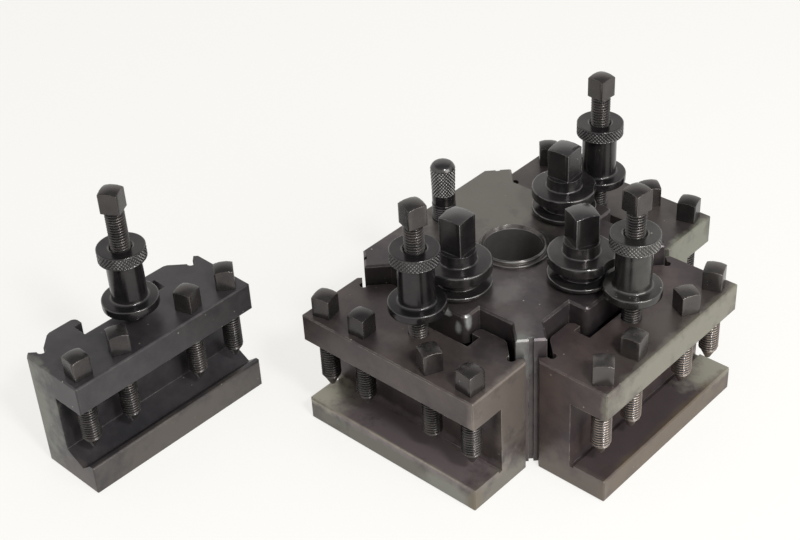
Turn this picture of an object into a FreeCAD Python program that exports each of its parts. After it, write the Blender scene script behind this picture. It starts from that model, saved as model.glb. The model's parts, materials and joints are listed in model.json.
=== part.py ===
import FreeCAD, Part
import math
import os

# Quick-change lathe tool post. Millimetres, +Z up, origin on the centre bore's axis at the bottom face.
# Each station is drawn facing -Y and turned about Z to its side of the post.
# Across is the distance sideways from the station's middle, out is the distance from the post's axis.

# Tool holders. The post is built around their length and the place of their vee grooves.
holder_length = 110.0
holder_height = 66.7
holder_depth = 46.5
upper_jaw = 16.0
slot_floor = 13.0
slot_depth = 20.7
floor_groove_width = 2.6
floor_groove_depth = 1.4
vee_in = 7.4
vee_out = 7.2
vee_depth = 10.1
vee_root_round = 2.2
vee_root_shift = 1.0
lip_cut = 2.4
ridge_cut = 1.2
mouth_half = 20.9
undercut_half = 25.6
lip_thickness = 5.8
tee_depth = 14.9
mouth_round = 3.0
holder_chamfer = 0.7

# Post body, with the gaps that the holders hang at in the photo
body_height = 76.5
recess_gap = 2.6
land_gap = 1.54
flank_gap = 2.85
edge_chamfer = 1.0
oil_groove_width = 2.4
oil_groove_depth = 1.8
flat_side = 3
boss_half = 18.8
boss_reach = 10.7
boss_round = 3.0
boss_bar_gap = 0.6
boss_step_gap = 2.0

# Centre bush
stud_bore_radius = 15.0
bush_outer_radius = 17.0
bush_proud = 3.2
bush_shoulder_radius = 19.0
bush_shoulder_height = 1.2
bush_chamfer_width = 1.2
bush_chamfer_depth = 2.0
bush_outer_chamfer = 0.4
press_gap = 0.02

# Running fits, small gaps, and how far fused forms or cuts run into each other
running_gap = 0.05
seat_gap = 0.1
loose_gap = 0.3
overlap = 1.0

# Cam studs. The photo shows the three squares at different heights.
cam_in = 7.0
cam_journal_radius = 9.2
cam_clamping_turn = 60.0
cam_square_turn = -26.0
draw_travel = 1.9
eccentric_radius = 5.5
shoulder_radius = 12.0
shoulder_height = 2.5
disc_radius = 16.8
disc_chamfer = 0.6
lower_disc_height = 2.1
groove_radius = 11.0
groove_height = 6.4
upper_disc_height = 5.5
neck_radius = 9.0
neck_height = 6.5
cam_square = 12.7
front_square_height = 18.5
right_square_height = 15.8
rear_square_height = 15.3
cam_dome = 1.7
cam_foot_height = 8.0
eccentric_step = 2.0

# Draw rods and clamp bars
rod_radius = 11.5
rod_height = 38.0
rod_inner_length = 13.0
rod_end_gap = 3.5
spigot_radius = 4.5
bar_half_width = 24.5
bar_thickness = 5.5
bar_low = 18.0
bar_high = 58.0

# Vee floor of the spare holder, measured in from its outer face
vee_land = 2.8
vee_land_height = 16.6
vee_bottom_in = 9.4
vee_bottom_height = 11.5
vee_back_height = 17.8

# Height screws and nuts
adjuster_in = 20.9
screw_radius = 5.0
screw_in_holder = 15.0
head_square = 10.0
head_top_radius = 2.8
head_slope = 0.4
head_height = 12.0
flange_gap = 0.8
flange_radius = 14.4
flange_height = 4.6
nut_neck_radius = 9.0
nut_fillet = 1.2
collar_radius = 12.2
collar_height = 6.8
nut_height = 34.7
nut_edge = 0.8
spare_nut_stand = 7.1
scallop_gap = 0.7

# Clamp screws
clamp_in = 8.8
clamp_end = 8.6
clamp_pitch = 24.6
clamp_tip_height = 22.0
clamp_cone_length = 5.0
clamp_tip_radius = 1.0

# Index plunger on the flat side
plunger_in = 13.1
plunger_tip_radius = 4.0
plunger_tip_chamfer = 1.0
plunger_tip_low = 0.5
collar_stop_radius = 5.8
collar_stop_height = 3.0
knob_neck_radius = 6.1
knob_neck_height = 4.2
knob_low_radius = 6.05
knob_top_radius = 6.55
knob_height = 19.7
knob_dome = 1.8
guide_radius = 6.3
guide_stand = 10.0
guide_depth = 18.5
guide_round = 0.5
plunger_hole_height = 12.0
plunger_wire = 1.1
plunger_coil_radius = 5.1
plunger_turns = 5

# Where the fourth holder stands, and which way its outer face looks
spare_across = -95.5
spare_forward = -151.6
spare_turn = 88.84

# Turn of each clamp screw's head, in degrees, holder by holder
front_turns = (12.0, 58.0, 24.0, 70.0)
right_turns = (35.0, 8.0, 62.0, 20.0)
rear_turns = (15.0, 50.0, 28.0, 40.0)
spare_turns = (40.0, 64.0, 18.0, 52.0)

# Turn of each height screw's head, in degrees, and how far its underside stands above the nut
front_head_turn = 20.0
right_head_turn = 65.0
rear_head_turn = 40.0
spare_head_turn = 30.0
front_head_rise = 13.4
right_head_rise = 12.7
rear_head_rise = 15.4
spare_head_rise = 12.8

up = FreeCAD.Vector(0, 0, 1)
origin = FreeCAD.Vector(0, 0, 0)


def cylinder(radius, low, high, across=0.0, out=0.0):
    """A round bar along Z, standing at a place of the front station."""
    base = FreeCAD.Vector(across, -out, low)
    return Part.makeCylinder(radius, high - low, base, up)


def rod(radius, inner, outer, height):
    """A round bar that lies along the front station's outward direction."""
    base = FreeCAD.Vector(0, -inner, height)
    return Part.makeCylinder(radius, outer - inner, base, FreeCAD.Vector(0, -1, 0))


def block(across_half, inner, outer, low, high):
    """A box centred on the front station's middle plane."""
    base = FreeCAD.Vector(-across_half, -outer, low)
    return Part.makeBox(2 * across_half, outer - inner, high - low, base)


def prism(corners, low, high):
    """A plan outline of (across, out) corners, carried up from low to high."""
    points = [FreeCAD.Vector(across, -out, low) for across, out in corners]
    face = Part.Face(Part.makePolygon(points + points[:1]))
    return face.extrude(FreeCAD.Vector(0, 0, high - low))


def side_prism(corners, half):
    """A side outline of (out, height) corners, carried sideways to both ends."""
    points = [FreeCAD.Vector(-half, -out, height) for out, height in corners]
    face = Part.Face(Part.makePolygon(points + points[:1]))
    return face.extrude(FreeCAD.Vector(2 * half, 0, 0))


def turned(profile, across=0.0, out=0.0):
    """A turned piece from (radius, height) points; a pair is an arc through its first point to its second."""
    edges = []
    last = None
    first = None
    for entry in profile:
        points = [FreeCAD.Vector(r, 0, h) for r, h in (entry if isinstance(entry[0], tuple) else (entry,))]
        if last is not None and len(points) == 1:
            edges.append(Part.makeLine(last, points[0]))
        if last is not None and len(points) == 2:
            edges.append(Part.Arc(last, points[0], points[1]).toShape())
        if first is None:
            first = points[0]
        last = points[-1]
    edges.append(Part.makeLine(last, first))
    solid = Part.Face(Part.Wire(edges)).revolve(origin, up, 360)
    solid.translate(FreeCAD.Vector(across, -out, 0))
    return solid


def spun(shape, degrees, across=0.0, out=0.0):
    """A copy of the shape turned about the vertical line at a place of the front station."""
    copy = shape.copy()
    copy.rotate(FreeCAD.Vector(across, -out, 0), up, degrees)
    return copy


def crown(radius, rise, top):
    """The domed end of a turned profile, from its edge up to the axis."""
    sphere = (radius ** 2 + rise ** 2) / (2 * rise)
    half_turn = math.asin(radius / sphere) / 2
    return ((sphere * math.sin(half_turn), top - sphere + sphere * math.cos(half_turn)), (0, top))


def squared_head(low, high):
    """A square screw head, its flat top falling away outwards in a shallow cone."""
    half = head_square / 2
    fall = (head_square - head_top_radius) * head_slope
    square = block(half, -half, half, low, high)
    return square.common(turned([(0, low), (head_square, low), (head_square, high - fall),
                                 (head_top_radius, high), (0, high)]))


def helix_spring(coil_radius, wire, turns, low, high):
    """A coil spring of square wire along Z between two heights, with plain ends."""
    travel = high - low - wire
    path = Part.makeHelix(travel / turns, travel, coil_radius)
    half = wire / 2
    signs = ((-1, -1), (1, -1), (1, 1), (-1, 1))
    corners = [FreeCAD.Vector(coil_radius + r * half, 0, h * half) for r, h in signs]
    section = Part.makePolygon(corners + corners[:1])
    spring = Part.Wire(path.Edges).makePipeShell([section], True, True)
    spring.translate(FreeCAD.Vector(0, 0, low + wire / 2))
    return spring


def save(node, shape, degrees=0.0):
    """Turn a piece to its station and write it."""
    spun(shape, degrees).exportStep("parts/" + node + ".step")


# Places that follow from the holders, measured out from the post's axis or across from a holder's middle
half_length = holder_length / 2
vee_root_across = half_length - vee_in
root_out = half_length + vee_out
ridge_out = root_out - vee_depth
ridge_half = vee_root_across - vee_depth
holder_out = ridge_out + holder_depth
lip_out = ridge_out + lip_thickness
tee_floor_out = ridge_out + tee_depth
adjuster_out = ridge_out + adjuster_in
clamp_outer = half_length - clamp_end
clamp_inner = clamp_outer - clamp_pitch
recess_out = ridge_out - recess_gap
boss_out = recess_out + boss_reach
bar_inner = lip_out + seat_gap
boss_low_out = bar_inner - draw_travel - boss_bar_gap
cam_out = recess_out - cam_in
rod_inner_out = cam_out - rod_inner_length
horn_reach = (vee_root_across + root_out) / math.sqrt(2) - land_gap
horn_half_width = (root_out - vee_root_across) / math.sqrt(2) - flank_gap
wall_out = (horn_reach + horn_half_width) / math.sqrt(2)
plunger_out = wall_out - plunger_in

# Heights that follow from the post
lower_disc_low = body_height + shoulder_height
lower_disc_top = lower_disc_low + lower_disc_height
groove_top = lower_disc_top + groove_height
upper_disc_top = groove_top + upper_disc_height
neck_top = upper_disc_top + neck_height
boss_step_height = bar_high + boss_step_gap
rod_bore_radius = rod_radius + running_gap
eccentric_low = rod_height - rod_bore_radius - eccentric_step
journal_low = rod_height + rod_bore_radius + loose_gap
flange_low = lower_disc_top + flange_gap
nut_top = flange_low + nut_height
spare_nut_drop = flange_low - holder_height - spare_nut_stand
collar_stop_low = plunger_hole_height + seat_gap
guide_low = body_height - guide_depth
knob_low = body_height + guide_stand + seat_gap
knob_top = knob_low + knob_neck_height + knob_height

# The eccentric swings evenly to both sides of straight across, and draws the rod by draw_travel each way
eccentric_turn = cam_clamping_turn - 90
cam_throw = draw_travel / math.sin(math.radians(cam_clamping_turn))


def body_outline():
    """The cross: a straight-sided horn on each diagonal, a recess and a boss on three sides, a flat side."""
    across = recess_out - horn_half_width * math.sqrt(2)
    land = horn_reach / math.sqrt(2)
    half_land = horn_half_width / math.sqrt(2)
    side = [(-across, recess_out), (-boss_half, recess_out), (-boss_half, boss_out), (boss_half, boss_out),
            (boss_half, recess_out), (across, recess_out)]
    horn = [(land - half_land, land + half_land), (land + half_land, land - half_land)]
    corners = []
    for turn in range(4):
        c = math.cos(math.radians(90 * turn))
        s = math.sin(math.radians(90 * turn))
        for a, o in horn if turn == flat_side else side + horn:
            corners.append((a * c + o * s, o * c - a * s))
    return corners


def upright_edges(shape, across, out):
    """The upright edges whose plan distances from the axes are these two, in either order."""
    found = []
    for edge in shape.Edges:
        x, y = (edge.Vertexes[0].X, edge.Vertexes[0].Y)
        level = edge.BoundBox.ZLength > body_height - 1
        if level and abs(min(abs(x), abs(y)) - across) < 0.01 and abs(max(abs(x), abs(y)) - out) < 0.01:
            found.append(edge)
    return found


def post_body():
    """One block with horns, recesses and bosses, bored for the bush, the cams, the rods and the plunger."""
    body = prism(body_outline(), 0, body_height)
    body = body.makeFillet(boss_round, upright_edges(body, boss_half, boss_out))
    rim = [e for e in body.Edges if all(abs(v.Z - body_height) < 0.01 for v in e.Vertexes)]
    body = body.makeChamfer(edge_chamfer, rim)
    cuts = [cylinder(bush_outer_radius + press_gap, 0, body_height)]
    for turn in range(4):
        groove = block(oil_groove_width / 2, horn_reach - oil_groove_depth, horn_reach + overlap,
                       0, body_height)
        cuts.append(spun(groove, 45 + 90 * turn))
    for degrees in (0, 90, 180):
        bores = [cylinder(cam_journal_radius + running_gap, eccentric_low, body_height, 0, cam_out),
                 cylinder(eccentric_radius + running_gap, cam_foot_height, eccentric_low + overlap,
                          0, cam_out),
                 rod(rod_bore_radius, rod_inner_out - rod_end_gap, boss_out, rod_height),
                 block(boss_half + overlap, boss_low_out, boss_out + overlap, 0, boss_step_height)]
        cuts += [spun(bore, degrees) for bore in bores]
    plunger_cuts = [cylinder(guide_radius + press_gap, plunger_hole_height, body_height, 0, plunger_out),
                    cylinder(plunger_tip_radius + running_gap, 0, plunger_hole_height, 0, plunger_out)]
    cuts += [spun(cut, 270) for cut in plunger_cuts]
    return body.cut(cuts)


def centre_bush():
    """The lining of the centre stud's bore, with a low shoulder and a rim chamfered inside above the post."""
    top = body_height + bush_proud
    shoulder_top = body_height + bush_shoulder_height
    c = bush_outer_chamfer
    return turned([(stud_bore_radius, 0), (bush_outer_radius, 0), (bush_outer_radius, body_height),
                   (bush_shoulder_radius, body_height), (bush_shoulder_radius, shoulder_top),
                   (bush_outer_radius, shoulder_top), (bush_outer_radius, top - c),
                   (bush_outer_radius - c, top), (stud_bore_radius + bush_chamfer_width, top),
                   (stud_bore_radius, top - bush_chamfer_depth)])


def cam_stud(square_height):
    """A turned stud: squared top, neck, two discs with a groove between, shoulder, journal and eccentric.

    Drawn released: the scallop in the upper disc faces outwards, and the eccentric is on the outward side.
    """
    c = disc_chamfer
    square_top = neck_top + square_height
    cam_top = square_top + cam_dome
    seat = body_height + seat_gap
    low_disc = [(0, journal_low), (cam_journal_radius, journal_low), (cam_journal_radius, seat),
                (shoulder_radius, seat), (shoulder_radius, lower_disc_low), (disc_radius, lower_disc_low),
                (disc_radius, lower_disc_top), (groove_radius, lower_disc_top)]
    top_disc = [(groove_radius, groove_top), (disc_radius, groove_top), (disc_radius, upper_disc_top - c),
                (disc_radius - c, upper_disc_top), (neck_radius, upper_disc_top)]
    stud = turned(low_disc + top_disc + [(neck_radius, square_top), crown(neck_radius, cam_dome, cam_top)],
                  0, cam_out)
    half = cam_square / 2
    flats = spun(block(half, cam_out - half, cam_out + half, neck_top, cam_top), cam_square_turn, 0, cam_out)
    ring = cylinder(2 * neck_radius, neck_top, cam_top, 0, cam_out).cut(flats)
    scallop = cylinder(flange_radius + scallop_gap, groove_top, upper_disc_top, 0, adjuster_out)
    angle = math.radians(eccentric_turn)
    pin = cylinder(eccentric_radius, eccentric_low + loose_gap, journal_low + overlap,
                   cam_throw * math.sin(angle), cam_out + cam_throw * math.cos(angle))
    foot = cylinder(eccentric_radius, cam_foot_height + seat_gap, eccentric_low + 2 * loose_gap, 0, cam_out)
    return stud.cut([ring, scallop]).fuse([pin, foot])


def draw_rod():
    """A round rod with a cross slot for the eccentric and a thinner end for the clamp bar."""
    shank = rod(rod_radius, rod_inner_out, bar_inner - seat_gap, rod_height)
    spigot = rod(spigot_radius, bar_inner - overlap, bar_inner + bar_thickness - seat_gap, rod_height)
    half = eccentric_radius + loose_gap
    eye = block(cam_throw, cam_out - half, cam_out + half, 0, body_height)
    ends = [cylinder(half, 0, body_height, side * cam_throw, cam_out) for side in (-1, 1)]
    return shank.fuse(spigot).cut([eye] + ends)


def clamp_bar():
    """The flat bar on the rod's end. It is wider than the holder's slot mouth and pulls on its two lips."""
    plate = block(bar_half_width, bar_inner, bar_inner + bar_thickness, bar_low, bar_high)
    plate = plate.makeChamfer(edge_chamfer, [e for e in plate.Edges if e.Length > bar_thickness + overlap])
    return plate.cut(rod(spigot_radius + running_gap, bar_inner - overlap, holder_out, rod_height))


def holder_plan():
    """Half the back's outline: slot, ridge, V-groove and lip; then the outer corner's chamfer."""
    lip_across = half_length - lip_cut
    lip_tip_out = root_out - (lip_across - vee_root_across)
    slope = ridge_cut / math.sqrt(2)
    return [(undercut_half, tee_floor_out), (undercut_half, lip_out), (mouth_half, lip_out),
            (mouth_half, ridge_out), (ridge_half - ridge_cut, ridge_out),
            (ridge_half + slope, ridge_out + slope), (vee_root_across, root_out),
            (lip_across, lip_tip_out), (half_length, lip_tip_out + lip_cut),
            (half_length, holder_out - holder_chamfer), (half_length - holder_chamfer, holder_out)]


def flat_slot():
    """Side outline of the tool slot of a holder for square tools."""
    c = holder_chamfer
    back = holder_out - slot_depth
    roof = holder_height - upper_jaw
    groove_out = back + floor_groove_width
    groove_floor = slot_floor - floor_groove_depth
    return [(holder_out, slot_floor - c), (holder_out - c, slot_floor), (groove_out, slot_floor),
            (groove_out, groove_floor), (back, groove_floor), (back, roof), (holder_out - c, roof),
            (holder_out, roof + c)]


def vee_slot():
    """Side outline of the tool slot of the holder for round bars."""
    c = holder_chamfer
    back = holder_out - slot_depth
    roof = holder_height - upper_jaw
    return [(holder_out, vee_land_height - c), (holder_out - c, vee_land_height),
            (holder_out - vee_land, vee_land_height), (holder_out - vee_bottom_in, vee_bottom_height),
            (back, vee_back_height), (back, roof), (holder_out - c, roof), (holder_out, roof + c)]


def clamp_places():
    """Where the four clamp screws stand."""
    out = holder_out - clamp_in
    return [(across, out) for across in (-clamp_outer, -clamp_inner, clamp_inner, clamp_outer)]


def holder(slot):
    """A block with a T-slot and two V-grooves in its back and an open tool slot in its outer face."""
    half = half_length
    c = holder_chamfer
    right = holder_plan()
    left = [(-across, out) for across, out in reversed(right)]
    plan = prism(right + left, 0, holder_height)
    foot = [(0, 0), (holder_out - c, 0), (holder_out, c)]
    top = [(holder_out, holder_height - c), (holder_out - c, holder_height), (0, holder_height)]
    side = side_prism(foot + slot + top, half)
    end_corners = [(-half, c), (-half + c, 0), (half - c, 0), (half, c), (half, holder_height - c),
                   (half - c, holder_height), (-half + c, holder_height), (-half, holder_height - c)]
    points = [FreeCAD.Vector(across, 0, height) for across, height in end_corners]
    ends = Part.Face(Part.makePolygon(points + points[:1])).extrude(FreeCAD.Vector(0, -holder_out, 0))
    block_form = plan.common([side]).common([ends])
    rounds = [mouth_rounding(side_sign) for side_sign in (-1, 1)]
    roots = [cylinder(vee_root_round, 0, holder_height, s * vee_root_across, root_out - vee_root_shift)
             for s in (-1, 1)]
    holes = [cylinder(screw_radius + running_gap, slot_floor + upper_jaw, holder_height, a, o)
             for a, o in clamp_places()]
    seat_low = holder_height - screw_in_holder
    seat = cylinder(screw_radius + running_gap, seat_low, holder_height, 0, adjuster_out)
    return block_form.cut(rounds + roots + holes + [seat])


def mouth_rounding(side_sign):
    """The sliver that rounds the inner corner of a slot lip."""
    centre_out = ridge_out + mouth_round
    corner = block(mouth_round / 2, ridge_out, centre_out, 0, holder_height)
    corner.translate(FreeCAD.Vector(side_sign * (mouth_half + mouth_round / 2), 0, 0))
    keep = cylinder(mouth_round, 0, holder_height, side_sign * (mouth_half + mouth_round), centre_out)
    return corner.cut(keep)


def clamp_screw(degrees, across, out):
    """Square-headed screw with a pointed tip, its head standing on the holder."""
    low = holder_height + seat_gap
    head = squared_head(low, low + head_height)
    cone_top = clamp_tip_height + clamp_cone_length
    shank = turned([(0, clamp_tip_height), (clamp_tip_radius, clamp_tip_height), (screw_radius, cone_top),
                    (screw_radius, low + overlap), (0, low + overlap)])
    screw = spun(head.fuse(shank), degrees)
    screw.translate(FreeCAD.Vector(across, -out, 0))
    return screw


def height_screw(degrees, head_rise):
    """The long square-headed screw that stands in the holder and carries the height nut."""
    low = holder_height - screw_in_holder + seat_gap
    head_base = nut_top + head_rise
    head = squared_head(head_base, head_base + head_height)
    shank = cylinder(screw_radius, low, head_base + overlap)
    screw = spun(head.fuse(shank), degrees)
    screw.translate(FreeCAD.Vector(0, -adjuster_out, 0))
    return screw


def height_nut(drop):
    """Flange, plain neck and gripping collar in one turned piece, threaded on the height screw."""
    low = flange_low - drop
    top = low + nut_height
    collar_low = top - collar_height
    bore = screw_radius + running_gap
    e = nut_edge
    f = nut_fillet
    flange_top = low + flange_height
    return turned([(bore, low), (flange_radius, low), (flange_radius, flange_top - e),
                   (flange_radius - e, flange_top), (nut_neck_radius + f, flange_top),
                   (nut_neck_radius, flange_top + f),
                   (nut_neck_radius, collar_low), (collar_radius, collar_low), (collar_radius, top - e),
                   (collar_radius - e, top), (bore, top)], 0, adjuster_out)


def index_plunger():
    """Locating pin: tip, stop collar, shank, plain neck and a tapered, domed knob in one turned piece."""
    stop_top = collar_stop_low + collar_stop_height
    neck_end = knob_low + knob_neck_height
    c = plunger_tip_chamfer
    tip = [(0, plunger_tip_low), (plunger_tip_radius - c, plunger_tip_low),
           (plunger_tip_radius, plunger_tip_low + c), (plunger_tip_radius, collar_stop_low)]
    shank = [(collar_stop_radius, collar_stop_low), (collar_stop_radius, stop_top),
             (plunger_tip_radius, stop_top), (plunger_tip_radius, knob_low)]
    knob = [(knob_neck_radius, knob_low), (knob_neck_radius, neck_end), (knob_low_radius, neck_end),
            (knob_top_radius, knob_top - knob_dome), crown(knob_top_radius, knob_dome, knob_top)]
    return turned(tip + shank + knob, 0, plunger_out)


def plunger_guide():
    """The sleeve screwed into the post, which guides the plunger and closes its spring's chamber."""
    top = body_height + guide_stand
    bore = plunger_tip_radius + running_gap
    return turned([(bore, guide_low), (guide_radius, guide_low), (guide_radius, top - guide_round),
                   (guide_radius - guide_round, top), (bore, top)], 0, plunger_out)


def plunger_spring():
    """The coil between the plunger's stop collar and its guide."""
    coil = helix_spring(plunger_coil_radius, plunger_wire, plunger_turns,
                        collar_stop_low + collar_stop_height + seat_gap, guide_low - seat_gap)
    coil.translate(FreeCAD.Vector(0, -plunger_out, 0))
    return coil


def to_spare(shape):
    """Move a piece of a holder from the front station to where the fourth holder stands."""
    copy = shape.copy()
    copy.translate(FreeCAD.Vector(0, holder_out, 0))
    copy.rotate(origin, up, spare_turn)
    copy.translate(FreeCAD.Vector(spare_across, spare_forward, 0))
    return copy


def holder_set(name, slot, nut_drop, screw_turns, head_turn, head_rise):
    """A holder with its height screw, height nut and four clamp screws."""
    pieces = {name + "_holder": holder(slot), name + "_height_screw": height_screw(head_turn, head_rise),
              name + "_height_nut": height_nut(nut_drop)}
    for number, (degrees, place) in enumerate(zip(screw_turns, clamp_places()), 1):
        pieces[name + "_clamp_screw_%d" % number] = clamp_screw(degrees, *place)
    return pieces


def station(degrees, cam_turn, rod_shift, square_height, pieces, name):
    """Add the cam, rod and bar to a holder's pieces and write them all, turned to the station's side.

    The cam is turned on from released by cam_turn, and the rod and bar stand out by rod_shift.
    """
    pieces[name + "_cam_stud"] = spun(cam_stud(square_height), -cam_turn, 0, cam_out)
    for node, shape in ((name + "_draw_rod", draw_rod()), (name + "_clamp_bar", clamp_bar())):
        shape.translate(FreeCAD.Vector(0, -rod_shift, 0))
        pieces[node] = shape
    for node, shape in pieces.items():
        save(node, shape, degrees)


os.makedirs("parts", exist_ok=True)
save("post_body", post_body())
save("centre_bush", centre_bush())
save("index_plunger", index_plunger(), 270)
save("plunger_guide", plunger_guide(), 270)
save("plunger_spring", plunger_spring(), 270)

front = holder_set("front", flat_slot(), 0, front_turns, front_head_turn, front_head_rise)
right = holder_set("right", flat_slot(), 0, right_turns, right_head_turn, right_head_rise)
rear = holder_set("rear", flat_slot(), 0, rear_turns, rear_head_turn, rear_head_rise)
spare = holder_set("spare", vee_slot(), spare_nut_drop, spare_turns, spare_head_turn, spare_head_rise)
station(0, cam_clamping_turn, 0, front_square_height, front, "front")
station(90, 0, draw_travel, right_square_height, right, "right")
station(180, cam_clamping_turn, 0, rear_square_height, rear, "rear")
for node, shape in spare.items():
    save(node, to_spare(shape))
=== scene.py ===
import json
import math

import bmesh
import bpy
import numpy as np
from mathutils import Matrix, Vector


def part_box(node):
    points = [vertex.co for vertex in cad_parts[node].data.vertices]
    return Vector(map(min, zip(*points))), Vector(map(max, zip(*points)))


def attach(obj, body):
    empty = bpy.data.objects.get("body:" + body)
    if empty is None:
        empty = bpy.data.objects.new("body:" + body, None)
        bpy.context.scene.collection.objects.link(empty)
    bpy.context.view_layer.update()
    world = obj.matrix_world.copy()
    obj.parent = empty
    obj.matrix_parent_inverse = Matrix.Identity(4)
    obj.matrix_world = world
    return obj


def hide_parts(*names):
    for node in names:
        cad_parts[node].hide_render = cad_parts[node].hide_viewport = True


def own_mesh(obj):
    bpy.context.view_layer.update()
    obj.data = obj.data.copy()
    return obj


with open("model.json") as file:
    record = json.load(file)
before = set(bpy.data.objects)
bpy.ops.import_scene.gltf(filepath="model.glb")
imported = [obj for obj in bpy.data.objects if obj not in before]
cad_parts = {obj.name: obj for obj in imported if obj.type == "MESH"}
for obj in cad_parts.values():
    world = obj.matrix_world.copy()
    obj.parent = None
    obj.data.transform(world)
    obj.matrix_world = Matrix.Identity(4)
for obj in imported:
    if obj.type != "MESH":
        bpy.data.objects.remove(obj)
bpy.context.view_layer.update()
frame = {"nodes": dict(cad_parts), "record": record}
nodes = frame["nodes"]

# ---------------------------------------------------------------- the post
# The body is one block of steel, milled to a cross with four corner horns and three guide bosses, ground on its faces
# and blackened in hot salts. The black is thin: it browns on the ground tops, goes grey where hands and holders have
# rubbed it, and the edges wear to bare steel. A pale patch over the far part of the top is painted sheen, and three
# white spots on the front, in the front holder's T-slot, are painted glints of wet oil. Its shape is the CAD node's,
# and the other black pieces use its finish too.


def place_node(tree, kind, at, **settings):
    """A shader node of this kind, with its properties set and its number or colour sockets filled."""
    made = tree.nodes.new(kind)
    made.location = (200 * at[0], -180 * at[1])
    for name, value in settings.items():
        if name.startswith("in_"):
            made.inputs[name[3:].replace("_", " ")].default_value = value
        else:
            setattr(made, name, value)
    return made


def sum_node(tree, operation, at, first, second, clamp=False):
    """A math node's result from two values, each a socket or a number."""
    made = place_node(tree, "ShaderNodeMath", at, operation=operation, use_clamp=clamp)
    for socket, value in zip(made.inputs, (first, second)):
        if isinstance(value, (int, float)):
            socket.default_value = value
        else:
            tree.links.new(value, socket)
    return made.outputs[0]


def ramp_node(tree, at, value, low, high):
    """Runs a value from 0 at low to 1 at high, and holds it outside them."""
    made = place_node(tree, "ShaderNodeMapRange", at, in_From_Min=low, in_From_Max=high)
    tree.links.new(value, made.inputs["Value"])
    return made.outputs["Result"]


def mix_node(tree, at, factor, first, second):
    """A colour between two, each a socket or a colour."""
    made = place_node(tree, "ShaderNodeMix", at, data_type="RGBA")
    tree.links.new(factor, made.inputs["Factor"])
    for name, value in (("A", first), ("B", second)):
        if isinstance(value, tuple):
            made.inputs[name].default_value = value
        else:
            tree.links.new(value, made.inputs[name])
    return made.outputs["Result"]


def new_effect(name, wants, gives):
    """An empty node group with these input and output sockets, and its two end nodes."""
    tree = bpy.data.node_groups.new(name, "ShaderNodeTree")
    for label, kind, value in wants:
        tree.interface.new_socket(label, in_out="INPUT", socket_type="NodeSocket" + kind).default_value = value
    for label, kind in gives:
        tree.interface.new_socket(label, in_out="OUTPUT", socket_type="NodeSocket" + kind)
    return tree, place_node(tree, "NodeGroupInput", (-6, 0)), place_node(tree, "NodeGroupOutput", (8, 0))


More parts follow.
